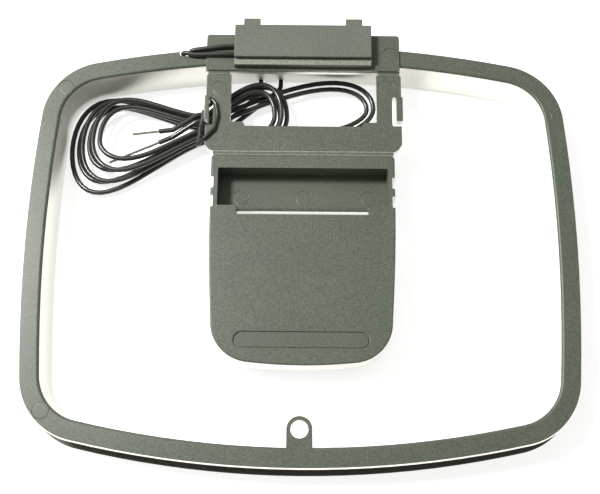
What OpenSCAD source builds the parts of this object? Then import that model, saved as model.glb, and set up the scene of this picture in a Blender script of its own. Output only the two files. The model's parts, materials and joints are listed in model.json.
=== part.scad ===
// Table-top loop antenna with a fold-out stand, lying on its back.
// X runs across the loop, Y up the loop towards the stand's hinge, Z out of its front.

/* [Loop frame] */
// Width of the loop over the front flange
rim_w = 147.5; // [130:0.5:170]
// Height of the loop over the front flange
rim_h = 117.5; // [105:0.5:135]
// Depth of the loop from back to front
rim_d = 12; // [11:0.5:14]
// Radius of the top edge
top_arc_r = 293; // [240:1:360]
// Radius of the bottom edge
bottom_arc_r = 266; // [220:1:340]
// Radius of the two sides
side_arc_r = 420; // [340:5:520]
// Height of the widest place above the middle
side_arc_y = 3.4; // [0:0.1:6]
// Radius of the four corners
corner_r = 18; // [15:0.5:22]
// Width of the front face from its outer edge to the inside of the loop
flange_w = 5.4; // [5:0.1:6.5]
// Thickness of each flange
flange_t = 1.2; // [1:0.1:1.6]
// Thickness of the loop's inner wall
wall_t = 1.3; // [1:0.1:1.6]
// How far the back flange stands out past the front one
back_lip = 0.9; // [0:0.1:1.5]

/* [Hanging tab] */
// Width of the tab
tab_w = 6.6; // [6:0.1:8]
// Thickness of the tab
tab_t = 2.5; // [1.5:0.1:3.5]
// Diameter of the hole
hole_d = 4.5; // [3.5:0.1:5]
// Height of the hole above the loop's bottom edge
hole_rise = 9.9; // [9:0.1:12]

/* [Hinge plate and terminal box] */
// Height of the stand's hinge line above the middle of the loop
hinge_y = 49.8; // [49:0.1:50.5]
// Width of the hinge plate and of the stand's link
link_w = 54.4; // [52:0.2:60]
// Height of the hinge plate above the hinge line
mount_h = 11.5; // [10:0.1:12.5]
// How far the hinge plate stands out from the front face
mount_proud = 0.6; // [0.3:0.1:1]
// Width of the terminal box
box_w = 38.2; // [36:0.2:39.4]
// Height of the terminal box
box_h = 10; // [9.8:0.1:10.2]
// Height of the box's lower edge above the hinge line
box_y = 3; // [2.8:0.1:3.1]
// Depth of the box's walls in front of the hinge plate
box_depth = 2.2; // [2.1:0.1:2.6]
// Thickness of the box's walls
box_wall = 1.2; // [0.8:0.1:1.3]
// Thickness of the box's cover
cover_t = 1.4; // [1.2:0.1:1.8]
// Width of each hook on the cover
hook_w = 4.7; // [3:0.1:6]
// Distance of each hook's centre from the middle
hook_x = 14.3; // [10:0.1:15]
// How far each hook stands out past the cover
hook_l = 2.1; // [1:0.1:2.3]
// Thickness of each hook
hook_t = 1.1; // [0.8:0.1:1.2]

/* [Stand link] */
// Distance between the link's two hinge lines
link_l = 24.1; // [23.5:0.1:26]
// Thickness of the link
link_t = 2.4; // [1.8:0.1:2.6]
// Width of each leg beside the window
leg_w = 6.9; // [5:0.1:7.5]
// Height of the crossbar below the window
crossbar_h = 7.4; // [6:0.1:8]
// Width of the slot beside each cleat
cleat_slot = 1.7; // [1.2:0.1:2.2]
// Thickness of each cleat post
cleat_w = 1.7; // [1.2:0.1:2]
// Length of each cleat post
cleat_l = 9; // [7:0.1:10]

/* [Base plate] */
// Width of the base plate
base_w = 50.2; // [49:0.2:56]
// Length of the base plate from its hinge line
base_l = 58.5; // [52:0.5:70]
// Depth of the base plate's skirt
base_d = 8; // [7:0.1:8.5]
// Thickness of the base plate's top
skin_t = 1.6; // [1.2:0.1:2]
// Thickness of the skirt
skirt_t = 1.4; // [1:0.1:2]
// Radius of the two far corners
base_corner_r = 13; // [8:0.5:18]
// Radius of the far edge
base_arc_r = 129; // [90:1:200]
// Width of the pocket that takes the terminal box
pocket_w = 46.2; // [44:0.2:46.6]
// Height of the pocket
pocket_h = 10.8; // [9:0.1:11.5]
// Distance of the pocket from the base's hinge line
pocket_gap = 4.4; // [3:0.1:5]
// Width of the slot that takes the hooks
slot_w = 36.2; // [34:0.2:40]
// Height of the slot at the front face
slot_h = 2.5; // [2.4:0.1:3.5]
// How far the pocket's floor stops short of the slot
floor_gap = 2; // [1.6:0.1:3]
// Width of the shallow label recess
label_w = 35.6; // [20:0.2:38]
// Height of the label recess
label_h = 4.7; // [3:0.1:6]
// Depth of the label recess
label_depth = 0.4; // [0.2:0.1:0.6]
// Distance of the label recess from the far edge
label_y = 6.6; // [6:0.1:12]

/* [Film hinges] */
// Thickness of the bending webs
film_t = 0.4; // [0.3:0.05:0.5]
// Length of the two webs between loop and link
film_l = 0.8; // [0.7:0.05:1]
// Length of the web between link and base plate
base_film_l = 1.2; // [1:0.05:1.4]

/* [Winding] */
// Turns of wire in the loop's channel
winding_turns = 8; // [6:1:8]
// Diameter of the winding's wire
wire_d = 0.45; // [0.3:0.01:0.45]
// Rise of the winding at each turn
wire_pitch = 0.88; // [0.86:0.01:0.9]

/* [Leads] */
// Diameter of the leads over their insulation
lead_d = 1.4; // [1:0.05:1.4]
// Diameter of the tinned conductor
core_d = 0.7; // [0.4:0.05:0.8]
// Turns in each lead's hank
hank_turns = 3; // [2:1:3]
// Rise of the hank at each turn
hank_pitch = 2.12; // [2.1:0.01:2.15]
// Length of the bared end of the first lead
bare_a = 7.5; // [5:0.5:9]
// Length of the bared end of the second lead
bare_b = 15; // [10:0.5:16]

/* [Hidden] */

grey = "#666a62";
light_grey = "#71756c";
black = "#1c1e1c";
copper = "#8a4a2a";
tin = "#b9bab4";
round_fn = 48;
arc_fn = 360;
past = 1;       // how far a cut runs past the face that it opens
play = 0.1;     // gap all round a piece that drops in

// The four arcs of the loop, as centre and radius, and where they meet the corners
half_h = rim_h / 2;
top_c = [0, half_h - top_arc_r];
bottom_c = [0, bottom_arc_r - half_h];
right_c = [rim_w / 2 - side_arc_r, side_arc_y];
left_c = [side_arc_r - rim_w / 2, side_arc_y];

function unit(v) = v / norm(v);
function turned(v) = [-v[1], v[0]];

// Where two circles cross, on the left of the way from the first centre to the second
function crossing(a, ra, b, rb) =
    let (gap = norm(b - a), along = (ra * ra - rb * rb + gap * gap) / (2 * gap))
    a + unit(b - a) * along + turned(unit(b - a)) * sqrt(ra * ra - along * along);

// Centre of the corner that is tangent inside a side arc and a top or bottom arc
upper_right = crossing(right_c, side_arc_r - corner_r, top_c, top_arc_r - corner_r);
lower_right = crossing(bottom_c, bottom_arc_r - corner_r, right_c, side_arc_r - corner_r);
upper_left = [-upper_right[0], upper_right[1]];
lower_left = [-lower_right[0], lower_right[1]];

// The circles that the loop's outline follows, anticlockwise from its upper left corner
loop_circles = [[upper_left, corner_r], [left_c, side_arc_r],
                [lower_left, corner_r], [bottom_c, bottom_arc_r],
                [lower_right, corner_r], [right_c, side_arc_r],
                [upper_right, corner_r], [top_c, top_arc_r]];
circle_count = len(loop_circles);

// Angle at which the outline goes over from a circle to the next, where the two are tangent
function heading(from, to) = atan2(to[1] - from[1], to[0] - from[0]);
function handover(i) =
    let (a = loop_circles[i % circle_count], b = loop_circles[(i + 1) % circle_count])
    a[1] > b[1] ? heading(a[0], b[0]) : heading(b[0], a[0]);

// Each arc of the outline, as centre, radius, first angle and last angle
loop_arcs = [for (i = [0:circle_count - 1])
                 let (start = handover(i + circle_count - 1), end = handover(i))
                 [loop_circles[i][0], loop_circles[i][1], start, end < start ? end + 360 : end]];

function on_circle(c, r, a) = [c[0] + r * cos(a), c[1] + r * sin(a)];

// Heights through the depth of the loop
front_z = rim_d;
mount_z = front_z + mount_proud;
box_z = mount_z + box_depth;
cover_z = box_z + cover_t;
channel_d = flange_w - wall_t;

// The stand's hinge lines, seen from the middle of the loop
base_hinge_y = hinge_y - link_l;
mount_edge_y = hinge_y + film_l / 2;
link_top_y = hinge_y - film_l / 2;
link_foot_y = base_hinge_y + base_film_l / 2;
base_top_y = base_hinge_y - base_film_l / 2;
base_foot_y = base_hinge_y - base_l;
mount_top_y = hinge_y + mount_h;
box_foot_y = hinge_y + box_y;
box_top_y = box_foot_y + box_h;
hook_tip_y = box_top_y + hook_l;
pocket_top_y = base_hinge_y - pocket_gap;
pocket_foot_y = pocket_top_y - pocket_h;
slot_foot_y = pocket_foot_y - slot_h;
floor_foot_y = pocket_foot_y + floor_gap;
link_z = front_z - link_t;
base_z = front_z - base_d;

// Everything is drawn from the middle of the loop and moved so that the origin
// is under the middle of the whole object
shift_y = -(hook_tip_y - half_h - back_lip) / 2;

// Leads: where they leave the box, and the routes that their free stretches take
lead_r = lead_d / 2;
bend_r = 2.8;
bend_steps = 4;
front_lead_z = mount_z + lead_r + play;
floor_lead_z = 0.95;
joint_x = 1.5 - box_w / 2;
joint_l = 1.2;
lead_x = joint_x + joint_l;
upper_lead_y = box_foot_y + 4.6;
lower_lead_y = box_foot_y + 2.1;

tail_a_route = [[-45, 52.75, 5.5], [-35.6, 54.1, 5.5], [-35.6, 56.3, front_lead_z],
                [-22, upper_lead_y, front_lead_z], [joint_x, upper_lead_y, front_lead_z]];
tail_b_route = [[-24.5, 55.15, 7.5], [-33.3, 54.35, 7.5], [-33.3, 55, front_lead_z],
                [-22, lower_lead_y, front_lead_z], [joint_x, lower_lead_y, front_lead_z]];

drop_a_x = -12.2;
drop_b_x = -6.4;
hank_waist = [-26.4, 36.4];
hank_slope = 0.15;
hank_dir = unit([-1, -hank_slope, 0]);
hank_open = 2.95;       // half the gap between a hank's two runs at the waist
column_gap = 1.95;      // how far the second lead's hank lies inside the first one's
hank_a_at = [hank_waist[0], hank_waist[1] + hank_open, floor_lead_z];
hank_b_at = hank_a_at - [0, column_gap, 0];
hank_rise = [0, 0, hank_pitch * hank_turns];
run_in_a = 5;           // straight run of each lead into its hank, and out of it
run_in_b = 6;
run_out = 3.5;
bared_run = 4;          // straight run of the insulation up to the bared end

lead_a_route = [[lead_x, upper_lead_y, front_lead_z], [drop_a_x, upper_lead_y, front_lead_z],
                [drop_a_x, upper_lead_y, floor_lead_z], [drop_a_x, 49, floor_lead_z],
                hank_a_at - run_in_a * hank_dir, hank_a_at - lead_d * hank_dir];
lead_b_route = [[lead_x, lower_lead_y, front_lead_z], [-14.2, lower_lead_y, front_lead_z],
                [-10.6, upper_lead_y, front_lead_z], [drop_b_x, upper_lead_y, front_lead_z],
                [drop_b_x, upper_lead_y, floor_lead_z], [drop_b_x, 50.3, floor_lead_z],
                hank_b_at - run_in_b * hank_dir, hank_b_at - lead_d * hank_dir];

bared_a_at = [-40.3, 34.2, 6.4];
bared_b_at = [-40.4, 31.4, 5];
bared_a_dir = unit([-7.4, -0.8, -0.4]);
bared_b_dir = unit([-13.6, -5.6, -1.2]);
end_a_route = [hank_a_at + hank_rise + lead_d * hank_dir, hank_a_at + hank_rise + run_out * hank_dir,
               bared_a_at - bared_run * bared_a_dir, bared_a_at];
end_b_route = [hank_b_at + hank_rise + lead_d * hank_dir, hank_b_at + hank_rise + run_out * hank_dir,
               bared_b_at - bared_run * bared_b_dir, bared_b_at];

// A point of the corner between two straight runs, on an arc of the given radius
function bend_point(corner, way_in, way_out, r, share) =
    let (turn = acos(max(-1, min(1, way_in * way_out))),
         start = corner - way_in * r * tan(turn / 2),
         middle = corner + unit(way_out - way_in) * r / cos(turn / 2))
    middle + (start - middle) * cos(turn * share) + way_in * r * sin(turn * share);

// A route with each of its corners rounded
function rounded(route, r, steps) =
    concat([route[0]],
           [for (i = [1:len(route) - 2])
               let (way_in = unit(route[i] - route[i - 1]), way_out = unit(route[i + 1] - route[i]))
               for (step = [0:steps]) bend_point(route[i], way_in, way_out, r, step / steps)],
           [route[len(route) - 1]]);

function way(p, i) = unit(p[min(i + 1, len(p) - 1)] - p[max(i - 1, 0)]);
function across(v) = unit(cross(v, abs(v[2]) > 0.9 ? [1, 0, 0] : [0, 0, 1]));
function square_to(n, t) = unit(n - (n * t) * t);

// A round tube along a list of points, as rings whose sides don't twist
module tube(p, r, sides) {
    last = len(p) - 1;
    side_way = [for (i = 0, n = across(way(p, 0)); i <= last;
                     i = i + 1, n = i <= last ? square_to(n, way(p, i)) : n) n];
    points = [for (i = [0:last], k = [0:sides - 1])
                 let (t = way(p, i), u = side_way[i], a = 360 * k / sides)
                 p[i] + r * (cos(a) * u + sin(a) * cross(t, u))];
    walls = [for (i = [0:last - 1], k = [0:sides - 1], half = [0, 1])
                let (a = i * sides + k, b = i * sides + (k + 1) % sides)
                half == 0 ? [a, a + sides, b + sides] : [a, b + sides, b]];
    caps = [for (k = [1:sides - 2], end = [0, 1])
               end == 0 ? [0, k, k + 1] : [last * sides, last * sides + k + 1, last * sides + k]];
    polyhedron(points = points, faces = concat(walls, caps));
}

// A box given by its low and high corners
module block(low, high) {
    translate(low) cube(high - low);
}

module mirrored() {
    children();
    mirror([1, 0, 0]) children();
}

// Shape of the loop, drawn in by an inset from its front outer edge
corner_proud = 0.03;        // how far each corner stands out past its tangent place, so that the arcs cross

module loop_shape(inset) {
    difference() {
        intersection_for (i = [1:2:circle_count - 1])
            translate(loop_circles[i][0]) circle(loop_circles[i][1] - inset, $fn = arc_fn);
        for (i = [0:2:circle_count - 1]) corner_waste(loop_arcs[i], inset);
    }
}

// What rounding one corner takes away
module corner_waste(arc, inset) {
    reach = corner_r * 2;
    mid = (arc[2] + arc[3]) / 2;
    difference() {
        polygon([arc[0], on_circle(arc[0], reach, arc[2]),
                 on_circle(arc[0], reach * 1.4, mid), on_circle(arc[0], reach, arc[3])]);
        translate(arc[0]) circle(corner_r + corner_proud - inset, $fn = arc_fn);
    }
}

module ring(outer, inner, z, h) {
    translate([0, 0, z]) linear_extrude(h) difference() {
        loop_shape(outer);
        loop_shape(inner);
    }
}

// Channel open to the outside: the inner wall, and a flange at the back and at the front
module rim() {
    flange_root = channel_d + wall_t / 2;
    difference() {
        union() {
            ring(channel_d, flange_w, 0, rim_d);
            ring(-back_lip, flange_root, 0, flange_t);
            ring(0, flange_root, rim_d - flange_t, flange_t);
        }
        link_room();
    }
}

// Room for the folded link and its two webs
module link_room() {
    block([-link_w / 2 - play, link_foot_y, link_z - play],
          [link_w / 2 + play, mount_edge_y, front_z + past]);
}

// Plate over the top of the loop, with a thinner edge at the hinge and the terminal box's walls
mount_step_y = mount_edge_y + mount_proud + play;
plate_z = front_z - flange_t;
thin_edge_z = front_z - film_t / 4;

module hinge_plate() {
    block([-link_w / 2, mount_edge_y, plate_z], [link_w / 2, mount_top_y, thin_edge_z]);
    block([-link_w / 2, mount_step_y, plate_z], [link_w / 2, mount_top_y, mount_z]);
    block([-box_w / 2, mount_top_y - past, plate_z], [box_w / 2, box_top_y, mount_z]);
    difference() {
        block([-box_w / 2, box_foot_y, plate_z], [box_w / 2, box_top_y, box_z]);
        block([-box_w / 2 + box_wall, box_foot_y + box_wall, mount_z],
              [box_w / 2 - box_wall, box_top_y - box_wall, box_z + past]);
    }
}

// Tab at the foot of the loop, with the hole to hang it from
tab_y = hole_rise - half_h;

module hanging_tab() {
    translate([0, tab_y, front_z - tab_t]) cylinder(h = tab_t, d = tab_w, $fn = round_fn);
    block([-tab_w / 2, flange_w - wall_t / 2 - half_h, front_z - tab_t], [tab_w / 2, tab_y, front_z]);
}

// Cuts for the leads: the notch in the front edge, the holes through the box's left wall,
// the way down behind the box, and the grooves out of the loop's back
notch_x = [-36.7, -32];
notch_y = 54;
groove_w = lead_d + 0.5;
groove_h = floor_lead_z + lead_r + 0.25;
drop_lead_in = 2.2;         // how far the way down reaches to the left, where the lead bends

module lead_cuts() {
    block([notch_x[0], notch_y, plate_z - past], [notch_x[1], half_h, front_z + play]);
    for (x = [drop_a_x, drop_b_x]) {
        block([x - drop_lead_in, upper_lead_y - groove_w / 2, plate_z - past],
              [x + groove_w / 2, upper_lead_y + groove_w / 2, mount_z + past]);
        block([x - groove_w / 2, half_h - flange_w - past * 2, -past],
              [x + groove_w / 2, upper_lead_y + groove_w / 2, groove_h]);
    }
    for (y = [upper_lead_y, lower_lead_y])
        translate([-box_w / 2 - past, y, front_lead_z])
            rotate([0, 90, 0]) cylinder(h = box_wall + past * 2, d = lead_d + 2 * play, $fn = round_fn);
}

module loop_frame() {
    color(grey) difference() {
        union() {
            rim();
            hinge_plate();
            hanging_tab();
        }
        translate([0, tab_y, front_z - tab_t - past])
            cylinder(h = tab_t + past * 2, d = hole_d, $fn = round_fn);
        lead_cuts();
    }
}

// Cover of the terminal box, with the two hooks that catch in the base plate's slot
snap_l = 1.6;
snap_w = 3;
snap_t = 0.8;

module terminal_cover() {
    color(light_grey) {
        block([-box_w / 2, box_foot_y, box_z], [box_w / 2, box_top_y, cover_z]);
        mirrored() {
            block([hook_x - hook_w / 2, box_top_y - play, box_z],
                  [hook_x + hook_w / 2, hook_tip_y, box_z + hook_t]);
            block([hook_x - snap_w / 2, box_top_y - box_wall - play - snap_t, box_z - snap_l],
                  [hook_x + snap_w / 2, box_top_y - box_wall - play, box_z + play]);
        }
    }
}

// Bending webs, level with the front face
base_film_inset = 1;

module film_web(x, w, y, l) {
    color(light_grey) block([x - w / 2, y - l / 2, front_z - film_t], [x + w / 2, y + l / 2, front_z]);
}

module film_hinge_left() {
    film_web(-(link_w - leg_w) / 2, leg_w, hinge_y, film_l);
}

module film_hinge_right() {
    film_web((link_w - leg_w) / 2, leg_w, hinge_y, film_l);
}

module film_hinge_base() {
    film_web(0, base_w - 2 * base_film_inset, base_hinge_y, base_film_l);
}

// Link: two legs, a crossbar and a hooked cleat at each side
link_half = link_w / 2;
leg_in = link_half - leg_w;             // inner side of each leg
crossbar_y = link_foot_y + crossbar_h;
window_step_h = 1.2;                    // low steps in the window's two lower corners
window_step_w = 4;
window_step_slope = 2;
foot_taper = 2.6;                       // how far the crossbar's ends are cut back at its foot
foot_lean = 0.6;
cleat_foot_y = link_foot_y + 7;
cleat_in = cleat_slot + cleat_w;
cleat_mouth = 1.6;
cleat_lip = 0.8;

module link_side() {
    step_y = crossbar_y + window_step_h;
    step_x = leg_in - window_step_w;
    polygon([[0, link_foot_y], [link_half - foot_taper, link_foot_y],
             [link_half - foot_lean, link_foot_y + foot_taper], [link_half, crossbar_y],
             [link_half, link_top_y], [leg_in, link_top_y],
             [leg_in, step_y], [step_x, step_y],
             [step_x - window_step_slope, crossbar_y], [0, crossbar_y]]);
}

// Slot behind each cleat's post, open to the side at its foot
module cleat_slot_shape() {
    translate([link_half - cleat_in, cleat_foot_y]) square([cleat_slot, cleat_l - cleat_lip]);
    translate([link_half - cleat_in, cleat_foot_y]) square([cleat_in + past, cleat_mouth]);
}

module stand_link() {
    color(grey) translate([0, 0, link_z]) linear_extrude(link_t)
        mirrored() difference() {
            link_side();
            cleat_slot_shape();
        }
}

// Base plate: a tray with a pocket and slot near its hinge, open underneath
end_wall = 1.2;
bay_depth = 0.9;
bay_h = 3.2;
bay_from_foot = 1.2;        // middle of each bay, in from the pocket's two ends
bay_from_top = 4.2;

module base_corner(inset) {
    far_x = base_w / 2 - base_corner_r;
    far_y = base_foot_y + base_corner_r;
    difference() {
        translate([far_x, base_foot_y - past]) square(base_corner_r + past);
        translate([far_x, far_y]) circle(base_corner_r - inset, $fn = arc_fn);
    }
}

module base_outline(inset) {
    intersection() {
        difference() {
            translate([-base_w / 2 + inset, base_foot_y])
                square([base_w - 2 * inset, base_top_y - inset - base_foot_y]);
            mirrored() base_corner(inset);
        }
        translate([0, base_foot_y + base_arc_r]) circle(base_arc_r - inset, $fn = arc_fn);
    }
}

// Shallow bays in both sides of the pocket, with a rib between them
module side_bays() {
    mirrored() for (y = [pocket_foot_y + bay_from_foot, pocket_top_y - bay_from_top])
        block([base_w / 2 - bay_depth, y - bay_h / 2, base_z - past],
              [base_w / 2 + past, y + bay_h / 2, front_z + past]);
}

module stadium(w, h) {
    mirrored() translate([(w - h) / 2, 0]) circle(d = h, $fn = arc_fn);
    square([w - h, h], center = true);
}

module base_plate() {
    pocket_floor_z = base_z + skin_t;
    color(grey) difference() {
        translate([0, 0, base_z]) linear_extrude(base_d) base_outline(0);
        // Hollow under the top
        difference() {
            translate([0, 0, base_z - past]) linear_extrude(base_d + past - skin_t) base_outline(skirt_t);
            block([-base_w / 2, pocket_foot_y - end_wall, base_z - past * 2],
                  [base_w / 2, base_top_y, front_z]);
        }
        // Pocket, and the slot from the front face down past the pocket's floor
        block([-pocket_w / 2, pocket_foot_y, pocket_floor_z], [pocket_w / 2, pocket_top_y, front_z + past]);
        block([-slot_w / 2, slot_foot_y, base_z - past], [slot_w / 2, floor_foot_y, front_z + past]);
        block([-pocket_w / 2, pocket_top_y + end_wall, base_z - past],
              [pocket_w / 2, base_top_y - skirt_t, front_z - skin_t]);
        side_bays();
        translate([0, base_foot_y + label_y, front_z - label_depth])
            linear_extrude(label_depth + past) stadium(label_w, label_h);
    }
}

// Winding in the channel: one unbroken wire that climbs a pitch at each turn
wire_r = wire_d / 2;
wire_foot_z = 3.3;
wire_clear = 0.02;

// Straight stretches of wire on each arc, and how far the middle of one dips inside the arc
function arc_steps(arc) = arc[1] == side_arc_r ? 2 : 4;
function dip(arc) = arc[1] * (1 - cos((arc[3] - arc[2]) / arc_steps(arc) / 2));
wire_inset = channel_d - wire_r - wire_clear - max([for (arc = loop_arcs) dip(arc)]);

// Points of one turn, anticlockwise from the left end of the top edge
one_turn = [for (arc = loop_arcs, i = [0:arc_steps(arc) - 1])
                on_circle(arc[0], arc[1] - wire_inset,
                          arc[2] + (arc[3] - arc[2]) * i / arc_steps(arc))];
turn_points = len(one_turn);

function winding_point(i) =
    let (p = one_turn[i % turn_points]) [p[0], p[1], wire_foot_z + wire_pitch * i / turn_points];

winding_path = concat(
    [tail_a_route[0], tail_a_route[0] + [-wire_d, -wire_d * 0.15, 0]],
    [for (i = [0:turn_points * winding_turns - 2]) winding_point(i)],
    [tail_b_route[0] + [wire_d, 0.04, 0], tail_b_route[0]]);

// Least gap between points of a path that lie at least a given number of points apart
function least_gap(p, apart, d) =
    min([for (i = [0:len(p) - 1 - apart], j = [i + apart:len(p) - 1]) norm(p[i] - p[j])]) - d;

module winding() {
    color(copper) tube(winding_path, wire_r, 6);
    echo(winding_gap = least_gap(winding_path, 12, wire_d));
}

// Sleeved ends of the winding, through the notch and into the box
module winding_tail_a() {
    color(black) tube(rounded(tail_a_route, bend_r, bend_steps), lead_r, 8);
}

module winding_tail_b() {
    color(black) tube(rounded(tail_b_route, bend_r, bend_steps), lead_r, 8);
}

module solder_joint(y) {
    color(tin) translate([joint_x, y, front_lead_z])
        rotate([0, 90, 0]) cylinder(h = joint_l, d = core_d + 0.3, $fn = round_fn);
}

// Hank: loops pinched at the waist, each a pitch above the last, laid in further at the left
reach_left = 40;
reach_right = 46.8;         // right lobe of the first loop
reach_short = 22;           // right lobe of the second loop, which is held closer, as the rest are
short_step = 1.5;           // how much less far each loop reaches after that
swell_left_top = 14.2;
swell_left_foot = 15.6;
swell_right_top = 8;
swell_right_foot = 5;
draw_left_top = 0.6;        // how fast each lobe's swell shrinks as the loops are laid further in
draw_left_foot = 1.1;
draw_right = 0.3;
spread = 3.3;
hank_steps = 24;
wall_clear = 1.1;

function top_wall_y(x) = top_c[1] + sqrt(pow(top_arc_r - flange_w, 2) - x * x);

function reach(turns, left) =
    left ? reach_left : turns < 1 ? reach_right : reach_short - short_step * (floor(turns) - 1);

// Point of a hank after a number of turns, from the top of its waist and anticlockwise
function hank_point(turns, inset) =
    let (a = 90 + 360 * turns,
         left = cos(a) < 0,
         upper = sin(a) >= 0,
         c = abs(cos(a)),
         s = abs(sin(a)),
         laid_in = inset + (left ? spread * turns * c : 0),
         x = cos(a) * (reach(turns, left) - laid_in),
         swell = left ? (upper ? swell_left_top : swell_left_foot)
                      : (upper ? swell_right_top : swell_right_foot),
         draw = left ? (upper ? draw_left_top : draw_left_foot) : draw_right,
         swell_by = 2 * s * pow(c, left ? 1.5 : 1) * (swell - laid_in * draw),
         half = s * (hank_open - inset) + swell_by,
         free_y = hank_waist[1] + hank_slope * x + (upper ? half : -half),
         y = min(free_y, top_wall_y(hank_waist[0] + x) - wall_clear - inset))
    [hank_waist[0] + x, y, floor_lead_z + hank_pitch * turns];

function hank_path(inset, per_turn) =
    let (at = inset > 0 ? hank_b_at : hank_a_at)
    concat([at - lead_d * hank_dir],
           [for (i = [0:per_turn * hank_turns]) hank_point(i / per_turn, inset)],
           [at + hank_rise + lead_d * hank_dir]);

module hank(inset) {
    color(black) tube(hank_path(inset, hank_steps), lead_r, 6);
    echo(hank_gap = least_gap(hank_path(inset, 48), 12, lead_d));
}

module lead_run(route) {
    color(black) tube(rounded(route, bend_r, bend_steps), lead_r, 8);
}

module tinned_end(at, dir, length) {
    color(tin) tube([at, at + length / 2 * dir, at + length * dir], core_d / 2, 8);
}

// Tie: most of a turn round the left cleat's post, over the front and back of the link
tie_r = 0.5;
tie_gap = 0.45;             // how far the tie stands off the post
tie_y = cleat_foot_y + 3.5;
tie_lean = 3.5;
tie_steps = 16;
tie_half_w = cleat_w / 2 + tie_r + tie_gap;
tie_half_h = link_t / 2 + tie_r + tie_gap;

function tie_point(i) =
    let (a = 360 * i / tie_steps)
    [cleat_w / 2 - link_half + tie_half_w * cos(a), tie_y + tie_lean * sin(a / 2 + 45),
     link_z + link_t / 2 + tie_half_h * sin(a)];

module hank_tie() {
    color(black) tube([for (i = [1:tie_steps - 1]) tie_point(i)], tie_r, 8);
}

module placed() {
    translate([0, shift_y, 0]) children();
}

placed() loop_frame();
placed() terminal_cover();
placed() film_hinge_left();
placed() film_hinge_right();
placed() stand_link();
placed() film_hinge_base();
placed() base_plate();
placed() winding();
placed() winding_tail_a();
placed() winding_tail_b();
placed() solder_joint(upper_lead_y);  // solder_joint_a
placed() solder_joint(lower_lead_y);  // solder_joint_b
placed() lead_run(lead_a_route);  // lead_a_start
placed() lead_run(lead_b_route);  // lead_b_start
placed() hank(0);  // lead_a_hank
placed() hank(column_gap);  // lead_b_hank
placed() lead_run(end_a_route);  // lead_a_end
placed() lead_run(end_b_route);  // lead_b_end
placed() tinned_end(bared_a_at, bared_a_dir, bare_a);  // tinned_end_a
placed() tinned_end(bared_b_at, bared_b_dir, bare_b);  // tinned_end_b
placed() hank_tie();
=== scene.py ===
# %% [markdown]
# # A table-top loop antenna with a fold-out stand
#
# The object is a rounded plastic loop with a channel round its outside. A coil of thin wire lies in the
# channel, and its ends go into a small terminal box, where two leads are soldered on. A stand is folded
# flat inside the loop: a link on two thin plastic hinges, and a base plate on a third one.
#
# The construction comes packed as a fixed frame. This script dresses it. Each piece is modelled here as
# it would be by hand, in the place that the frame gives it, and takes over from its plain solid.

# %% Load the frame
import json
import math

import bmesh
import bpy
from mathutils import Matrix, Vector


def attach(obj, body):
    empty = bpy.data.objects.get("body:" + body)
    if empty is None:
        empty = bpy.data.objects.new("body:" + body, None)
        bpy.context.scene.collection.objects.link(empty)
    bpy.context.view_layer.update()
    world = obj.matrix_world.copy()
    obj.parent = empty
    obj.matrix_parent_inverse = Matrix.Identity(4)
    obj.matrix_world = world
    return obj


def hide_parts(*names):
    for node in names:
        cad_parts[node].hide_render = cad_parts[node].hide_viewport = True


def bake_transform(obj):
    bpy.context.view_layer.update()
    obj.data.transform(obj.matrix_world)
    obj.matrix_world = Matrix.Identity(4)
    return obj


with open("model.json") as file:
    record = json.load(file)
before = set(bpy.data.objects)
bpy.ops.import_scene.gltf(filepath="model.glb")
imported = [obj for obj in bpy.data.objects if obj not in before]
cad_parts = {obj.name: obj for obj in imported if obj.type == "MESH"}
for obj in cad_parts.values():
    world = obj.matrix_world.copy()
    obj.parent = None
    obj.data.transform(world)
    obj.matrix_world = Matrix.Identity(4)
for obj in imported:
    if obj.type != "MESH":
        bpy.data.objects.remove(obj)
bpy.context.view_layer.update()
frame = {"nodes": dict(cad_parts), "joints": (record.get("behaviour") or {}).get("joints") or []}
print("nodes in the frame:", len(frame["nodes"]))

# %% [markdown]
# ## Millimetres, measured from the middle of the loop
#
# The frame is in metres, and its origin is under the middle of the whole object. A mould maker would
# give every size in millimetres from the middle of the loop, so the script does the same, and one helper
# turns such a place into a point of the frame. The stand's hinge line is the link between the two: the
# frame says where it is, and it lies 49.8 mm above the loop's middle.

# %% A place in the frame
MM = 0.001
HINGE_Y = 49.8
joints = {joint["name"]: joint for joint in frame["joints"]}
loop_y = joints["link_fold"]["pos_m"][1] - HINGE_Y * MM
FRONT_Z = joints["link_fold"]["pos_m"][2] / MM
BASE_HINGE_Y = (joints["base_fold"]["pos_m"][1] - loop_y) / MM


def at(x, y, z=0.0):
    """A place in millimetres from the middle of the loop, as a point of the frame."""
    return Vector((x * MM, y * MM + loop_y, z * MM))


print("front face at", FRONT_Z, "mm, base hinge at", round(BASE_HINGE_Y, 2), "mm")

# %% [markdown]
# ## The camera
#
# The photograph was taken almost straight down, with a normal lens at about a quarter of a metre. The
# loop's far edge is a little narrower than a straight look down would make it, and the loop's inner walls
# show at the top and at both sides. That gives the camera's height and how far it stood back.

# %% Camera
LENS_MM = 57
SENSOR_MM = 36
CAMERA_AT = Vector((0.40, -77.4, 252.75)) * MM
CAMERA_LOOKS_AT = Vector((-0.30, -3.78, 12.0)) * MM
CAMERA_ROLL = 0.0095

bpy.ops.object.camera_add(location=CAMERA_AT)
camera = bpy.context.object
camera.name = "camera"
camera.data.lens = LENS_MM
camera.data.sensor_width = SENSOR_MM
camera.data.clip_start = 0.01
look = (CAMERA_LOOKS_AT - CAMERA_AT).normalized()
right = look.cross(Vector((-CAMERA_ROLL, 1, 0))).normalized()
camera.rotation_euler = Matrix((right, right.cross(look), -look)).transposed().to_euler()
bpy.context.scene.camera = camera
bpy.context.scene.view_settings.view_transform = "Standard"
print("camera looks down at", round(math.degrees(math.asin(-look.z)), 1), "degrees")

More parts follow.
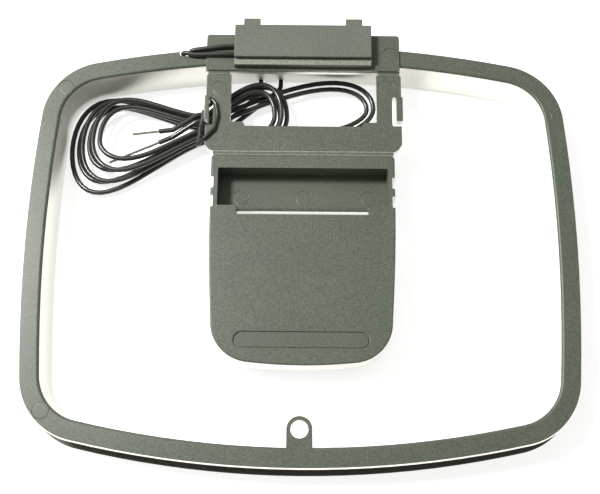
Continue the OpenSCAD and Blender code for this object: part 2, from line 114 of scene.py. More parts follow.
# %% [markdown]
# ## The two leads
#
# Each lead is one insulated wire. It starts at the solder joint in the terminal box, goes down behind the
# box and out under the loop, makes three turns of a hank that is pinched at the stand's left cleat, and
# ends bared. It is drawn as one curve along a route with rounded corners. The hank is a formula: each
# turn lies a little above the last and is drawn in at its left end.

# %% Routes and their rounded corners
LEAD_D = 1.4
BEND_R = 2.8
BEND_STEPS = 6


def rounded(route, r=BEND_R):
    """A route with each of its corners on an arc."""
    points = [Vector(p) for p in route]
    line = [points[0]]
    for before, corner, after in zip(points, points[1:], points[2:]):
        way_in, way_out = (corner - before).normalized(), (after - corner).normalized()
        turn = way_in.angle(way_out, 0)
        start = corner - way_in * r * math.tan(turn / 2)
        middle = corner + (way_out - way_in).normalized() * r / math.cos(turn / 2)
        for step in range(BEND_STEPS + 1):
            share = turn * step / BEND_STEPS
            line.append(middle + (start - middle) * math.cos(share) + way_in * r * math.sin(share))
    return line + [points[-1]]


def length_of(line):
    return sum((b - a).length for a, b in zip(line, line[1:]))


# %% The box's heights and the free stretches of the leads
COVER_FOOT_Y = 52.8
UPPER_LEAD_Y = COVER_FOOT_Y + 4.6
LOWER_LEAD_Y = COVER_FOOT_Y + 2.1
PLATE_Z = 12.6
FRONT_LEAD_Z = PLATE_Z + LEAD_D / 2 + 0.1
FLOOR_LEAD_Z = 0.95
LEAD_X = -16.4
DROP_A_X = -12.2
DROP_B_X = -6.4
WAIST = Vector((-26.4, 36.4, 0))
HANK_SLOPE = 0.15
HANK_DIR = Vector((-1, -HANK_SLOPE, 0)).normalized()
HANK_OPEN = 2.95
COLUMN_GAP = 1.95
HANK_TURNS = 3
HANK_PITCH = 2.12
hank_a_at = WAIST + Vector((0, HANK_OPEN, FLOOR_LEAD_Z))
hank_b_at = hank_a_at - Vector((0, COLUMN_GAP, 0))
hank_rise = Vector((0, 0, HANK_PITCH * HANK_TURNS))

lead_a_route = [(LEAD_X, UPPER_LEAD_Y, FRONT_LEAD_Z), (DROP_A_X, UPPER_LEAD_Y, FRONT_LEAD_Z),
                (DROP_A_X, UPPER_LEAD_Y, FLOOR_LEAD_Z), (DROP_A_X, 49, FLOOR_LEAD_Z),
                hank_a_at - 5 * HANK_DIR, hank_a_at - LEAD_D * HANK_DIR]
lead_b_route = [(LEAD_X, LOWER_LEAD_Y, FRONT_LEAD_Z), (-14.2, LOWER_LEAD_Y, FRONT_LEAD_Z),
                (-10.6, UPPER_LEAD_Y, FRONT_LEAD_Z), (DROP_B_X, UPPER_LEAD_Y, FRONT_LEAD_Z),
                (DROP_B_X, UPPER_LEAD_Y, FLOOR_LEAD_Z), (DROP_B_X, 50.3, FLOOR_LEAD_Z),
                hank_b_at - 6 * HANK_DIR, hank_b_at - LEAD_D * HANK_DIR]

BARED_A_AT = Vector((-40.3, 34.2, 6.4))
BARED_B_AT = Vector((-40.4, 31.4, 5))
BARED_A_DIR = Vector((-7.4, -0.8, -0.4)).normalized()
BARED_B_DIR = Vector((-13.6, -5.6, -1.2)).normalized()
end_a_route = [hank_a_at + hank_rise + LEAD_D * HANK_DIR, hank_a_at + hank_rise + 3.5 * HANK_DIR,
               BARED_A_AT - 4 * BARED_A_DIR, BARED_A_AT]
end_b_route = [hank_b_at + hank_rise + LEAD_D * HANK_DIR, hank_b_at + hank_rise + 3.5 * HANK_DIR,
               BARED_B_AT - 4 * BARED_B_DIR, BARED_B_AT]

# %% The hank
REACH_LEFT = 40
REACH_RIGHT = 46.8
REACH_SHORT = 22
SHORT_STEP = 1.5
SWELL = {"left_top": 14.2, "left_foot": 15.6, "right_top": 8, "right_foot": 5}
DRAW = {"left_top": 0.6, "left_foot": 1.1, "right_top": 0.3, "right_foot": 0.3}
SPREAD = 3.3
HANK_STEPS = 72
WALL_CLEAR = 1.1
TOP_R = 293
LOOP_HALF_H = 58.75
FLANGE_W = 5.4


def reach(turns, left):
    """How far a lobe goes: at the right, only the first turn is a long one."""
    if left:
        return REACH_LEFT
    return REACH_RIGHT if turns < 1 else REACH_SHORT - SHORT_STEP * (math.floor(turns) - 1)


def hank_point(turns, inset):
    """A point of the hank after a number of turns, from the top of its waist and anticlockwise."""
    a = math.radians(90 + 360 * turns)
    c, s = abs(math.cos(a)), abs(math.sin(a))
    left = math.cos(a) < 0
    lobe = ("left" if left else "right") + ("_top" if math.sin(a) >= 0 else "_foot")
    laid_in = inset + (SPREAD * turns * c if left else 0)
    x = math.cos(a) * (reach(turns, left) - laid_in)
    swell = 2 * s * c ** (1.5 if left else 1) * (SWELL[lobe] - laid_in * DRAW[lobe])
    half = (s * (HANK_OPEN - inset) + swell) * (1 if math.sin(a) >= 0 else -1)
    wall_y = LOOP_HALF_H - TOP_R + math.sqrt((TOP_R - FLANGE_W) ** 2 - (WAIST.x + x) ** 2)
    y = min(WAIST.y + HANK_SLOPE * x + half, wall_y - WALL_CLEAR - inset)
    return Vector((WAIST.x + x, y, FLOOR_LEAD_Z + HANK_PITCH * turns))


def lead_line(start_route, end_route, inset):
    """The whole of one lead: down from the box, round the hank, and out to its bared end."""
    turns = [hank_point(i / HANK_STEPS, inset) for i in range(HANK_STEPS * HANK_TURNS + 1)]
    return rounded(start_route) + turns + rounded(end_route)


# %% A round wire along a line
def wire(name, line, diameter, sides=5):
    """A curve of one spline through a line of points in millimetres."""
    curve = bpy.data.curves.new(name, "CURVE")
    curve.dimensions = "3D"
    curve.bevel_depth = 1
    curve.bevel_resolution = sides
    curve.use_fill_caps = True
    spline = curve.splines.new("POLY")
    spline.points.add(len(line) - 1)
    for point, place in zip(spline.points, line):
        point.co = (*at(*place), 1)
        point.radius = diameter / 2 * MM
    spline.use_smooth = True
    piece = bpy.data.objects.new(name, curve)
    bpy.context.scene.collection.objects.link(piece)
    return piece


leads = []
for letter, start, end, inset in (("a", lead_a_route, end_a_route, 0),
                                  ("b", lead_b_route, end_b_route, COLUMN_GAP)):
    line = lead_line(start, end, inset)
    lead = wire(f"lead_{letter}", line, LEAD_D)
    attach(lead, "loop")
    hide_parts(f"lead_{letter}_start", f"lead_{letter}_hank", f"lead_{letter}_end")
    leads.append(lead)
    print(lead.name, "is", round(length_of(line)), "mm long")

# %% [markdown]
# ## Working in edit mode
#
# Most pieces start as a cube or a plane and are shaped in edit mode. The operators act on what is
# selected, so each step first lets go of everything and then picks faces, edges or corners by where they
# are. Pieces that are moulded in one are joined by exact Booleans, and holes are cut the same way. A tool
# that cuts stands out a millimetre or two past the piece, so that no two faces lie in one plane.

# %% Blocks and discs
def clear():
    """Leaves edit mode and lets go of everything."""
    if bpy.context.mode != "OBJECT":
        bpy.ops.object.mode_set(mode="OBJECT")
    bpy.ops.object.select_all(action="DESELECT")


def take(piece):
    """Makes one piece the only one that operators act on."""
    clear()
    piece.select_set(True)
    bpy.context.view_layer.objects.active = piece


def settle(name, scale=(1, 1, 1)):
    """Names the primitive just added and applies its size and place."""
    piece = bpy.context.object
    piece.name = name
    piece.scale = scale
    bpy.ops.object.transform_apply()
    return piece


def block(name, low, high):
    """A cube primitive brought to its size and place between two corners in millimetres."""
    clear()
    low, high = at(*low), at(*high)
    bpy.ops.mesh.primitive_cube_add(size=1, location=(low + high) / 2)
    return settle(name, high - low)


def bar(name, half, ys, zs):
    """A block across the middle of the loop, given by half its width and by its ranges."""
    return block(name, (-half, ys[0], zs[0]), (half, ys[1], zs[1]))


def side_block(name, side, xs, ys, zs):
    """A block on the left, side -1, or the right, side 1, at distances from the middle."""
    xs = sorted(side * x for x in xs)
    return block(name, (xs[0], ys[0], zs[0]), (xs[1], ys[1], zs[1]))


def disc(name, centre, diameter, depth, sides=64):
    """A cylinder primitive that stands on a place in millimetres."""
    clear()
    middle = Vector(centre) + Vector((0, 0, depth / 2))
    bpy.ops.mesh.primitive_cylinder_add(vertices=sides, radius=diameter / 2 * MM, depth=depth * MM,
                                        location=at(*middle))
    return settle(name)


# %% Picking by place
def place_of(element):
    """Middle of a face, edge or corner, in millimetres from the middle of the loop."""
    if isinstance(element, bmesh.types.BMVert):
        middle = element.co
    elif isinstance(element, bmesh.types.BMEdge):
        middle = (element.verts[0].co + element.verts[1].co) / 2
    else:
        middle = element.calc_center_median()
    return Vector((middle.x / MM, (middle.y - loop_y) / MM, middle.z / MM))


def pick(piece, kind, test=lambda element: True):
    """Goes into edit mode and selects all faces, edges or corners, or those that pass a test."""
    if bpy.context.mode != "EDIT_MESH":
        take(piece)
        bpy.ops.object.mode_set(mode="EDIT")
    bpy.ops.mesh.select_mode(type=kind)
    bpy.ops.mesh.select_all(action="DESELECT")
    mesh = bmesh.from_edit_mesh(piece.data)
    elements = {"VERT": mesh.verts, "EDGE": mesh.edges, "FACE": mesh.faces}[kind]
    picked = [element for element in elements if test(element)]
    for element in picked:
        element.select_set(True)
    mesh.select_flush_mode()
    bmesh.update_edit_mesh(piece.data)
    return len(picked)


def lift(z, x=0):
    """Moves what is selected up, and to the right, by millimetres."""
    bpy.ops.transform.translate(value=(x * MM, 0, z * MM))


def upright(edge):
    """Whether an edge runs along Z."""
    way = edge.verts[1].co - edge.verts[0].co
    return abs(way.z) > 0.99 * way.length


def above(z):
    """A test for what lies at a height or over it."""
    return lambda element: place_of(element).z > z - 0.1


def near(value, wanted, slack=0.05):
    return abs(value - wanted) < slack


def upright_at(y):
    """A test for the upright edges at one end of a block."""
    return lambda edge: upright(edge) and near(place_of(edge).y, y)


# %% Joining, cutting and rounding
SHARP = math.radians(40)


def combine(piece, tool, how):
    """Joins a tool to a piece, or cuts it away, and throws the tool away."""
    take(piece)
    boolean = piece.modifiers.new("combine", "BOOLEAN")
    boolean.operation = how
    boolean.solver = "EXACT"
    boolean.object = tool
    bpy.ops.object.modifier_apply(modifier=boolean.name)
    bpy.data.objects.remove(tool)


def join_all(piece, *tools):
    for tool in tools:
        combine(piece, tool, "UNION")
    return piece


def cut_all(piece, *tools):
    for tool in tools:
        combine(piece, tool, "DIFFERENCE")
    return piece


def soften(piece, width, segments=2, test=lambda edge: True):
    """Rounds the sharp edges that pass a test by a few tenths of a millimetre."""
    def sharp(edge):
        return edge.is_manifold and edge.calc_face_angle(0) > SHARP and test(edge)
    if pick(piece, "EDGE", sharp):
        bpy.ops.mesh.bevel(offset=width * MM, segments=segments, affect="EDGES", clamp_overlap=True)
    clear()


# %% [markdown]
# ## The loop's rim
#
# The rim is a moulded channel, open to the outside, with a flange at the back and one at the front. Its
# front flange has a rounded inner edge of nearly a millimetre, which draws a dark line all round in the
# photograph, because it turns away from the lamp. Its outer edge slopes and is smooth, so it mirrors the
# table and draws a white line below the loop. The rim has the same section all the way, so the section is
# drawn once and spun about the centre of each of the eight arcs of the outline in turn. The arcs are
# tangent, so the sweep closes on itself.

# %% The outline's arcs
RIM_W = 147.5
BOTTOM_R = 266
SIDE_R = 420
SIDE_Y = 3.4
CORNER_R = 18


def crossing(a, ra, b, rb):
    """Where two circles cross, on the left of the way from the first centre to the second."""
    gap = b - a
    along = (ra * ra - rb * rb + gap.length_squared) / (2 * gap.length)
    way = gap.normalized()
    return a + way * along + Vector((-way.y, way.x)) * math.sqrt(ra * ra - along * along)


top_c = Vector((0, LOOP_HALF_H - TOP_R))
bottom_c = Vector((0, BOTTOM_R - LOOP_HALF_H))
right_c = Vector((RIM_W / 2 - SIDE_R, SIDE_Y))
left_c = Vector((SIDE_R - RIM_W / 2, SIDE_Y))
upper_right = crossing(right_c, SIDE_R - CORNER_R, top_c, TOP_R - CORNER_R)
lower_right = crossing(bottom_c, BOTTOM_R - CORNER_R, right_c, SIDE_R - CORNER_R)
upper_left = Vector((-upper_right.x, upper_right.y))
lower_left = Vector((-lower_right.x, lower_right.y))
circles = [(upper_left, CORNER_R), (left_c, SIDE_R), (lower_left, CORNER_R), (bottom_c, BOTTOM_R),
           (lower_right, CORNER_R), (right_c, SIDE_R), (upper_right, CORNER_R), (top_c, TOP_R)]


def handover(i):
    """Angle at which the outline goes over from one circle to the next."""
    (a, ra), (b, rb) = circles[i % 8], circles[(i + 1) % 8]
    way = b - a if ra > rb else a - b
    return math.atan2(way.y, way.x)


arcs = []
for i, (centre, radius) in enumerate(circles):
    start, end = handover(i + 7), handover(i)
    arcs.append((centre, radius, start, end + math.tau if end < start else end))
print("arc sweeps in degrees:", [round(math.degrees(arc[3] - arc[2]), 1) for arc in arcs])

# %% The rim's section
RIM_D = 12
FLANGE_T = 1.2
WALL_T = 1.3
BACK_LIP = 0.9
OUTER_SLOPE = 0.4
DRAFT = 0.35
INNER_ROUND = 0.8
FRONT_ROUND = 0.15
BACK_ROUND = 0.25
CHANNEL_D = FLANGE_W - WALL_T
first_c, first_r, first_angle = arcs[0][:3]
outwards = Vector((math.cos(first_angle), math.sin(first_angle), 0))


def on_section(inset, z):
    """A place of the first section, given by how far it lies in from the outline."""
    return at(*(first_c.to_3d() + outwards * (first_r - inset)).xy, z)


def inset_of(element):
    """How far a part of the first section lies in from the outline."""
    return first_r - (place_of(element).xy - first_c).length


def section_corner(inset, z):
    """A test for one corner of the section."""
    return lambda corner: near(inset_of(corner), inset) and near(place_of(corner).z, z)


clear()
bpy.ops.mesh.primitive_plane_add(size=1, location=on_section(CHANNEL_D + WALL_T / 2, RIM_D / 2),
                                 rotation=(math.pi / 2, 0, first_angle))
loop_frame = settle("moulded_loop", (WALL_T * MM, RIM_D * MM, 1))
for height in (FLANGE_T, RIM_D - FLANGE_T):
    pick(loop_frame, "FACE")
    bpy.ops.mesh.bisect(plane_co=on_section(0, height), plane_no=(0, 0, 1))
for low, high, depth in ((0, FLANGE_T, CHANNEL_D + BACK_LIP), (RIM_D - FLANGE_T, RIM_D, CHANNEL_D)):
    pick(loop_frame, "EDGE", lambda edge: upright(edge) and near(inset_of(edge), CHANNEL_D)
         and low < place_of(edge).z < high)
    bpy.ops.mesh.extrude_region_move(TRANSFORM_OT_translate={"value": outwards * depth * MM})
pick(loop_frame, "FACE")
bpy.ops.mesh.dissolve_limited(angle_limit=math.radians(1))
pick(loop_frame, "VERT", section_corner(0, RIM_D))
bpy.ops.transform.translate(value=-outwards * OUTER_SLOPE * MM)
pick(loop_frame, "VERT", section_corner(FLANGE_W, 0))
bpy.ops.transform.translate(value=-outwards * DRAFT * MM)
for inset, z, width, segments in ((FLANGE_W, RIM_D, INNER_ROUND, 5), (OUTER_SLOPE, RIM_D, FRONT_ROUND, 3),
                                  (0, RIM_D - FLANGE_T, FRONT_ROUND, 2), (-BACK_LIP, FLANGE_T, BACK_ROUND, 2),
                                  (-BACK_LIP, 0, BACK_ROUND, 2), (FLANGE_W + DRAFT, 0, BACK_ROUND, 2)):
    pick(loop_frame, "VERT", section_corner(inset, z))
    bpy.ops.mesh.bevel(offset=width * MM, segments=segments, affect="VERTICES")
print("section corners:", len(bmesh.from_edit_mesh(loop_frame.data).verts))

# %% Spin the section round the outline
ARC_STEPS = {CORNER_R: 28, SIDE_R: 10, TOP_R: 20, BOTTOM_R: 20}
pick(loop_frame, "FACE")
bpy.ops.mesh.delete(type="ONLY_FACE")
pick(loop_frame, "EDGE")
for centre, radius, start, end in arcs:
    bpy.ops.mesh.spin(steps=ARC_STEPS[radius], angle=end - start, center=at(*centre), axis=(0, 0, -1))
pick(loop_frame, "VERT")
bpy.ops.mesh.remove_doubles(threshold=0.01 * MM)
bpy.ops.mesh.normals_make_consistent(inside=False)
clear()
print("rim:", len(loop_frame.data.polygons), "faces")

# %% [markdown]
# ## Hinge plate, terminal box and hanging tab
#
# These are moulded in one with the rim. The plate lies over the top of the loop and stands out from its
# face by 0.6 mm, with a thin edge where the stand's webs begin. Four walls on it make the
# terminal box. Its front wall is the thickest and shows as a ledge in front of the cover, painted paler
# as a highlight. The tab at the foot has a hole for a nail. Each starts as a block whose outer edges are
# rounded before it joins the rim, so that the rounding stays even.

# %% Plate and box
LINK_W = 54.4
FILM_L = 0.8
FILM_T = 0.4
MOUNT_TOP_Y = HINGE_Y + 11.8
MOUNT_EDGE_Y = HINGE_Y + FILM_L / 2
MOUNT_STEP_Y = MOUNT_EDGE_Y + 0.2
PLATE_BACK_Z = RIM_D - FLANGE_T
BOX_W = 38.2
BOX_TOP_Y = COVER_FOOT_Y + 10
BOX_FOOT_Y = COVER_FOOT_Y - 1.7
BOX_WALL = 1.2
BOX_Z = PLATE_Z + 2.2
LEDGE_DROP = 0.25
EDGE = 0.25
thin_edge = bar("thin_edge", LINK_W / 2, (MOUNT_EDGE_Y, MOUNT_STEP_Y + 2), (PLATE_BACK_Z, RIM_D - FILM_T / 4))
hinge_plate = bar("hinge_plate", LINK_W / 2, (MOUNT_STEP_Y, MOUNT_TOP_Y), (PLATE_BACK_Z, PLATE_Z))
soften(hinge_plate, 0.8, 3, upright_at(MOUNT_TOP_Y))
soften(hinge_plate, 0.4, 1, upright_at(MOUNT_STEP_Y))
soften(hinge_plate, EDGE, 2, above(PLATE_Z))
box_back = bar("box_back", BOX_W / 2, (MOUNT_TOP_Y - 2, BOX_TOP_Y), (PLATE_BACK_Z, PLATE_Z))
box_walls = bar("box_walls", BOX_W / 2, (BOX_FOOT_Y, BOX_TOP_Y), (PLATE_BACK_Z + 0.3, BOX_Z))
pick(box_walls, "FACE")
bpy.ops.mesh.bisect(plane_co=at(0, COVER_FOOT_Y), plane_no=(0, 1, 0))
pick(box_walls, "VERT", lambda corner: near(place_of(corner).y, BOX_FOOT_Y)
     and near(place_of(corner).z, BOX_Z))
lift(-LEDGE_DROP)
clear()
cut_all(box_walls, bar("box_room", BOX_W / 2 - BOX_WALL, (COVER_FOOT_Y + BOX_WALL, BOX_TOP_Y - BOX_WALL),
                       (PLATE_Z, BOX_Z + 1)))
soften(box_walls, 0.12, 2, above(BOX_Z - LEDGE_DROP))

# %% Tab
TAB_W = 6.6
TAB_T = 2.5
TAB_Y = 9.9 - LOOP_HALF_H
HOLE_D = 4.5
SPECK = 0.002
tab_root_y = FLANGE_W - 1 - LOOP_HALF_H
hanging_tab = bar("hanging_tab", TAB_W / 2, (tab_root_y, TAB_Y), (RIM_D - TAB_T, RIM_D))
join_all(hanging_tab, disc("tab_end", (0, TAB_Y, RIM_D - TAB_T), TAB_W, TAB_T))
cut_all(hanging_tab, disc("tab_hole", (0, TAB_Y, RIM_D - TAB_T - 1), HOLE_D, TAB_T + 2))
soften(hanging_tab, 0.3, 3,
       lambda edge: near(place_of(edge).z, RIM_D) and place_of(edge).y > tab_root_y + 0.1)
pick(hanging_tab, "VERT")
bpy.ops.mesh.remove_doubles(threshold=SPECK * MM)
bpy.ops.mesh.dissolve_degenerate(threshold=SPECK * MM)
clear()
join_all(loop_frame, thin_edge, hinge_plate, box_back, box_walls, hanging_tab)
print("moulded loop:", len(loop_frame.data.polygons), "faces")

# %% [markdown]
# ## Cuts in the moulding
#
# The winding's ends come up through a notch in the front edge and enter the box by two holes in its left
# wall. The leads leave the box downwards behind it and pass under the loop in two grooves. Round marks of
# the mould's ejector pins show faintly on the front face. Each is a fine ring, hardly lower inside.

# %% Notch, holes and grooves
NOTCH_X = (-34.8, -31)
NOTCH_Y = 54.9
GROOVE_W = LEAD_D + 0.5
GROOVE_H = FLOOR_LEAD_Z + LEAD_D / 2 + 0.25
DROP_LEAD_IN = 2.2
notch = block("notch", (NOTCH_X[0], NOTCH_Y, PLATE_BACK_Z - 0.5),
              (NOTCH_X[1], LOOP_HALF_H + 2, FRONT_Z + 0.5))
soften(notch, 0.6, 4, upright_at(NOTCH_Y))
cuts = [notch]
groove = GROOVE_W / 2
for x in (DROP_A_X, DROP_B_X):
    cuts.append(block("drop", (x - DROP_LEAD_IN, UPPER_LEAD_Y - groove, PLATE_BACK_Z - 0.5),
                      (x + groove, UPPER_LEAD_Y + groove, PLATE_Z + 0.5)))
    cuts.append(block("groove", (x - groove, LOOP_HALF_H - FLANGE_W - 2, -1),
                      (x + groove, UPPER_LEAD_Y + groove, GROOVE_H)))
for y in (UPPER_LEAD_Y, LOWER_LEAD_Y):
    hole = disc("tail_hole", (0, 0, 0), LEAD_D + 0.2, BOX_WALL + 2, 32)
    hole.data.transform(Matrix.Translation(at(-BOX_W / 2 - 1, y, FRONT_LEAD_Z))
                        @ Matrix.Rotation(math.pi / 2, 4, "Y") @ Matrix.Translation(-at(0, 0, 0)))
    cuts.append(hole)
cut_all(loop_frame, *cuts)

# %% Ejector marks
MARK_D = 4.7
MARK_DEPTH = 0.16
MARK_RING = 0.4
MARK_RISE = 0.12
MARK_SLOPE = 0.93
RIM_MARKS = ((-65.9, 45.0), (-65.3, -44.9), (65.6, -45.4), (66.8, 37.0))
PLATE_MARK = (24.5, 55.5)


def mark(x, y, z):
    """A cutter for one ejector mark: a sloping groove round a face that lies a little lower."""
    cutter = disc("mark", (x, y, z - MARK_DEPTH), MARK_D, MARK_DEPTH + 1, 48)
    pick(cutter, "FACE", lambda face: face.normal.z < -0.9)
    bpy.ops.transform.resize(value=(MARK_SLOPE, MARK_SLOPE, 1), center_override=at(x, y, z))
    bpy.ops.mesh.inset(thickness=MARK_RING * MM)
    lift(MARK_RISE)
    clear()
    return cutter


cut_all(loop_frame, *[mark(x, y, RIM_D) for x, y in RIM_MARKS], mark(*PLATE_MARK, PLATE_Z))
print("moulded loop after its cuts:", len(loop_frame.data.polygons), "faces")

# %% [markdown]
# ## The cover
#
# The cover of the terminal box is a flat lid with two hooks. A rebate round its edge leaves a groove
# above the box's wall, which shows as a fine dark line. Under it, two snap legs hold it in the box.

# %% Cover
COVER_Z = BOX_Z + 1.4
REBATE = 0.5
REBATE_H = 0.6
HOOK_X = 14.3
HOOK_W = 4.7
HOOK_T = 1.1
HOOK_TIP_Y = BOX_TOP_Y + 2.1
SNAP_W = 3
SNAP_L = 1.6
SNAP_T = 0.8
SNAP_Y = BOX_TOP_Y - BOX_WALL - 0.1
cover = bar("cover", BOX_W / 2, (COVER_FOOT_Y, BOX_TOP_Y), (BOX_Z + REBATE_H, COVER_Z))
soften(cover, 0.35, 3, upright)
soften(cover, EDGE, 3, above(COVER_Z))
rebated = bar("rebated", BOX_W / 2 - REBATE, (COVER_FOOT_Y + REBATE, BOX_TOP_Y - REBATE),
              (BOX_Z, BOX_Z + REBATE_H + 0.2))
additions = [rebated]
for side in (-1, 1):
    hook = side_block("hook", side, (HOOK_X - HOOK_W / 2, HOOK_X + HOOK_W / 2),
                      (BOX_TOP_Y - BOX_WALL, HOOK_TIP_Y), (BOX_Z, BOX_Z + HOOK_T))
    soften(hook, 0.2, 2, lambda edge: place_of(edge).y > BOX_TOP_Y)
    snap = side_block("snap", side, (HOOK_X - SNAP_W / 2, HOOK_X + SNAP_W / 2),
                      (SNAP_Y - SNAP_T, SNAP_Y), (BOX_Z - SNAP_L, BOX_Z + 0.2))
    additions += [hook, snap]
join_all(cover, *additions)
print("cover:", len(cover.data.polygons), "faces")

# %% [markdown]
# ## The stand's link
#
# The link is a flat frame with a window, through which the terminal box passes when the stand is out. At
# each side a slot sets a post free, so that a lead can be wound round it. The frame's outer shape is a
# block, its foot corners are rounded, and the window and slots are cut out.

# %% Link
LINK_T = 2.4
LEG_W = 6.9
CROSSBAR_H = 7.4
BASE_FILM_L = 1.2
LINK_TOP_Y = HINGE_Y - FILM_L / 2
LINK_FOOT_Y = BASE_HINGE_Y + BASE_FILM_L / 2
CROSSBAR_Y = LINK_FOOT_Y + CROSSBAR_H
LEG_IN = LINK_W / 2 - LEG_W
LINK_Z = FRONT_Z - LINK_T
STEP_H = 1.2
STEP_W = 4
FOOT_CUT = 2.3
TOP_CUT = 0.5
STAND_X = 0.3


def shift_stand(piece):
    """Moves a piece of the stand to the right by what it is off the loop's middle."""
    pick(piece, "VERT")
    lift(0, STAND_X)
    clear()


link = bar("link", LINK_W / 2, (LINK_FOOT_Y, LINK_TOP_Y), (LINK_Z, FRONT_Z))
pick(link, "EDGE", upright_at(LINK_FOOT_Y))
bpy.ops.mesh.bevel(offset=FOOT_CUT * MM, segments=4, profile=0.4, affect="EDGES")
pick(link, "EDGE", upright_at(LINK_TOP_Y))
bpy.ops.mesh.bevel(offset=TOP_CUT * MM, segments=3, affect="EDGES")
clear()
soften(link, EDGE, 2, above(FRONT_Z))
window = bar("window", LEG_IN, (CROSSBAR_Y, LINK_TOP_Y + 1), (LINK_Z - 1, FRONT_Z + 1))
for side in (-1, 1):
    step = side_block("step", side, (LEG_IN - STEP_W, LEG_IN + STEP_W),
                      (CROSSBAR_Y - 1, CROSSBAR_Y + STEP_H), (LINK_Z - 2, FRONT_Z + 2))
    soften(step, 0.9, 3, upright_at(CROSSBAR_Y + STEP_H))
    cut_all(window, step)
print("link's outline:", len(link.data.polygons), "faces")

# %% Cleats and marks
CLEATS = ((-1, 25.1, 26.4), (1, 24.6, 25.8))
CLEAT_FOOT_Y = LINK_FOOT_Y + 7.6
CLEAT_TOP_Y = CLEAT_FOOT_Y + 8.7
MOUTH_Y = CLEAT_FOOT_Y + 1.6
POST_OUT = LINK_W / 2 + 0.45
LINK_MARKS = ((-23.4, 45.1), (23.2, 45.5))
slot_tools = []
for side, inner, outer in CLEATS:
    post = side_block("post", side, (outer, POST_OUT), (MOUTH_Y, CLEAT_TOP_Y + 0.4), (LINK_Z, FRONT_Z))
    soften(post, 0.4, 3)
    join_all(link, post)
    slot = side_block("cleat_slot", side, (inner, outer), (CLEAT_FOOT_Y, CLEAT_TOP_Y),
                      (LINK_Z - 1, FRONT_Z + 1))
    mouth = side_block("cleat_mouth", side, (inner + 0.4, POST_OUT + 1), (CLEAT_FOOT_Y, MOUTH_Y),
                       (LINK_Z - 2, FRONT_Z + 2))
    soften(slot, 0.5, 3, upright)
    slot_tools += [slot, mouth]
cut_all(link, window, *slot_tools, *[mark(x, y, FRONT_Z) for x, y in LINK_MARKS])
shift_stand(link)
print("link:", len(link.data.polygons), "faces")

# %% [markdown]
# ## The base plate
#
# The base plate is a tray, open underneath. Near its hinge it has a pocket that takes the terminal box,
# and a slot below the pocket for the cover's two hooks. Its sides draw in a little towards the foot, where
# three tangent arcs lead from side to side, and the front edge is softly rounded, which gives the light
# line round it. A long recess with round ends lies near the foot, with a fine groove round its edge. It is
# left bare.

# %% Base plate's outer shape
BASE_W = 50.2
BASE_L = 58.5
BASE_D = 8
SKIN_T = 1.6
SKIRT_T = 1.4
BASE_CORNER_R = 10.8
BASE_ARC_R = 129
BASE_TOP_Y = BASE_HINGE_Y - BASE_FILM_L / 2
BASE_FOOT_Y = BASE_HINGE_Y - BASE_L
BASE_Z = FRONT_Z - BASE_D
BASE_SIDE = ((10, 0), (2, 0.12), (-6, 0.4), (-12, 0.7), (-17, 1.0))
BASE_DRAW_IN = 1.25
BASE_TOP_ROUND = 0.9
BASE_FRONT_ROUND = 0.55


def extend(x, y, z=0):
    """Draws what is selected on by one straight piece."""
    bpy.ops.mesh.extrude_region_move(TRANSFORM_OT_translate={"value": (x * MM, y * MM, z * MM)})


def sweep(sweep_steps, turn, centre_x, centre_y):
    """Draws the outline on by one arc, clockwise."""
    bpy.ops.mesh.spin(steps=sweep_steps, angle=turn, center=at(centre_x, centre_y), axis=(0, 0, 1))


def tray(name, inset, low_z, high_z):
    """The plate's outline as a solid. One corner point is drawn out into lines and arcs, and filled."""
    side_x, top_y, foot_x = BASE_W / 2 - inset, BASE_TOP_Y - inset, BASE_W / 2 - BASE_DRAW_IN
    corner_x, arc_y = foot_x - BASE_CORNER_R, BASE_FOOT_Y + BASE_ARC_R
    drop = math.sqrt((BASE_ARC_R - BASE_CORNER_R) ** 2 - corner_x ** 2)
    corner_y, turn = arc_y - drop, math.atan2(drop, corner_x)
    side = [(side_x, top_y)] + [(side_x - draw, y) for y, draw in BASE_SIDE] + [(foot_x - inset, corner_y)]
    clear()
    bpy.ops.mesh.primitive_plane_add(size=MM, location=at(side_x, top_y, low_z))
    piece = settle(name)
    pick(piece, "VERT")
    bpy.ops.mesh.merge(type="CENTER")
    for (x0, y0), (x1, y1) in zip(side, side[1:]):
        extend(x1 - x0, y1 - y0)
    sweep(16, turn, corner_x, corner_y)
    sweep(10, math.pi - 2 * turn, 0, arc_y)
    sweep(16, turn, -corner_x, corner_y)
    for (x0, y0), (x1, y1) in zip(side[::-1], side[-2::-1]):
        extend(x0 - x1, y1 - y0)
    pick(piece, "VERT")
    bpy.ops.mesh.remove_doubles(threshold=0.005 * MM)
    pick(piece, "VERT", lambda corner: place_of(corner).y > top_y - 0.01)
    bpy.ops.mesh.edge_face_add()
    pick(piece, "VERT")
    bpy.ops.mesh.edge_face_add()
    extend(0, 0, high_z - low_z)
    pick(piece, "VERT")
    bpy.ops.mesh.normals_make_consistent(inside=False)
    clear()
    return piece


base = tray("base", 0, BASE_Z, FRONT_Z)
soften(base, BASE_TOP_ROUND, 4, upright_at(BASE_TOP_Y))
soften(base, BASE_FRONT_ROUND, 4, above(FRONT_Z))
print("base outline:", len(base.data.polygons), "faces")

